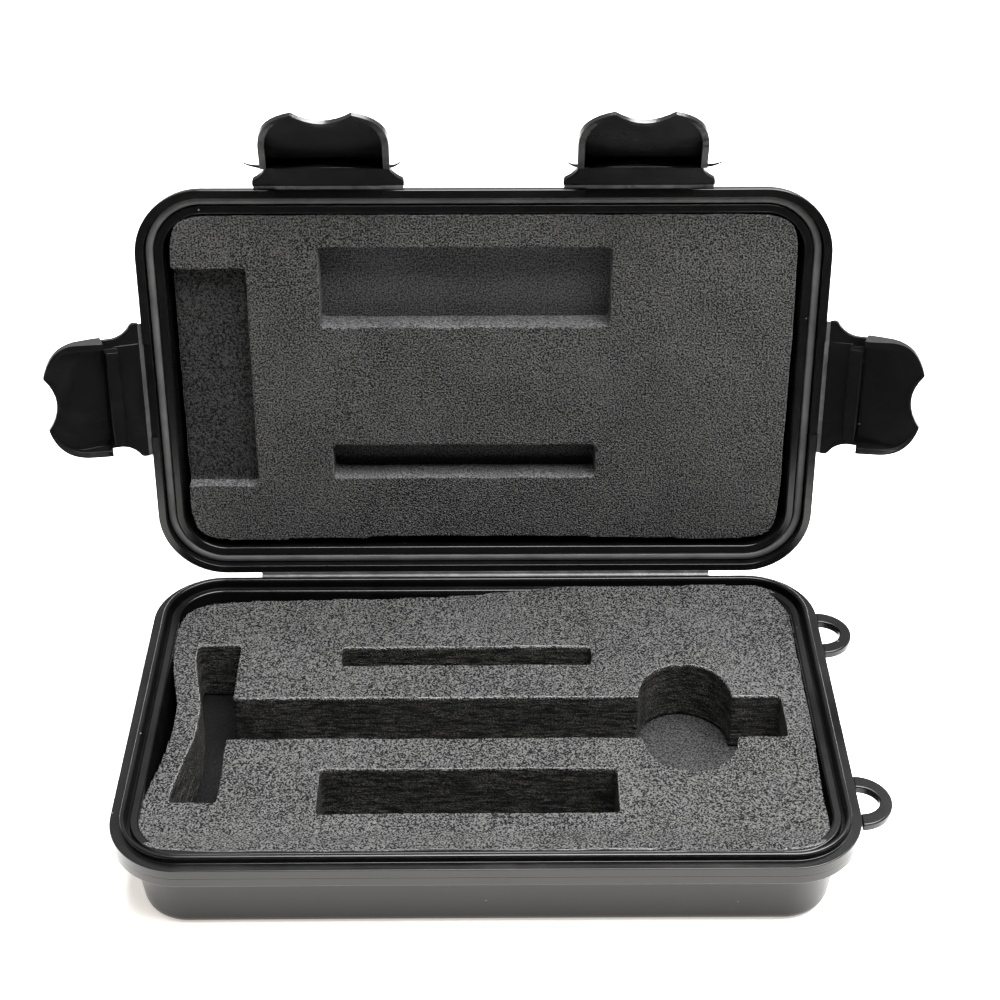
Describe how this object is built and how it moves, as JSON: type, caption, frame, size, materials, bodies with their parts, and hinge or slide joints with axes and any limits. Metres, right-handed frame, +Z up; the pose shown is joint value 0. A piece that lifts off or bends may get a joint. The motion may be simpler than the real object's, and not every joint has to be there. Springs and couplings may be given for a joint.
{
  "type": "carry case",
  "caption": "Small flat hinged carry case with snap latches, a rim seal, lanyard loops and die-cut foam inserts in the base and the lid.",
  "frame": {"origin": "centre of the tub's flat underside", "axes": "+Z up, +Y towards the hinge, -Y the front, +X towards the lanyard loops"},
  "size_m": [0.2048, 0.1267, 0.1421],
  "materials": {
    "shell_plastic": "satin moulded black",
    "latch_plastic": "satin moulded black",
    "seal_rubber": "matt dark grey",
    "foam": "closed-cell foam, matt grainy dark grey",
    "pad_foam": "closed-cell foam, matt dark grey"
  },
  "bodies": {
    "base": {"base_shell": "shell_plastic", "lanyard_loop_rear": "shell_plastic", "lanyard_loop_front": "shell_plastic", "base_foam_insert": "foam", "base_foam_pad": "pad_foam", "hinge_strap": "shell_plastic"},
    "lid": {"lid_shell": "shell_plastic", "lid_gasket": "seal_rubber", "lid_foam_insert": "foam", "lid_foam_pad": "pad_foam", "latch_front_left_film": "shell_plastic", "latch_front_right_film": "shell_plastic", "latch_left_film": "shell_plastic", "latch_right_film": "shell_plastic"},
    "latch_front_left": {"latch_front_left": "latch_plastic"},
    "latch_front_right": {"latch_front_right": "latch_plastic"},
    "latch_left": {"latch_left": "latch_plastic"},
    "latch_right": {"latch_right": "latch_plastic"}
  },
  "joints": [
    {"name": "lid_hinge", "type": "hinge", "parent": "base", "child": "lid", "pos_m": [0, 0.04985, 0.022], "axis": [1, 0, 0], "range_deg": [-81, 98.7]},
    {"name": "latch_front_left_hinge", "type": "hinge", "parent": "lid", "child": "latch_front_left", "pos_m": [-0.035, 0.06583, 0.12016], "axis": [-1, 0, 0], "range_deg": [-61, 79]},
    {"name": "latch_front_right_hinge", "type": "hinge", "parent": "lid", "child": "latch_front_right", "pos_m": [0.035, 0.06583, 0.12016], "axis": [-1, 0, 0], "range_deg": [-61, 79]},
    {"name": "latch_left_hinge", "type": "hinge", "parent": "lid", "child": "latch_left", "pos_m": [-0.0803, 0.05833, 0.07113], "axis": [0, -0.1513, -0.9885], "range_deg": [-71, 69]},
    {"name": "latch_right_hinge", "type": "hinge", "parent": "lid", "child": "latch_right", "pos_m": [0.0803, 0.05833, 0.07113], "axis": [0, 0.1513, 0.9885], "range_deg": [-71, 69]}
  ]
}
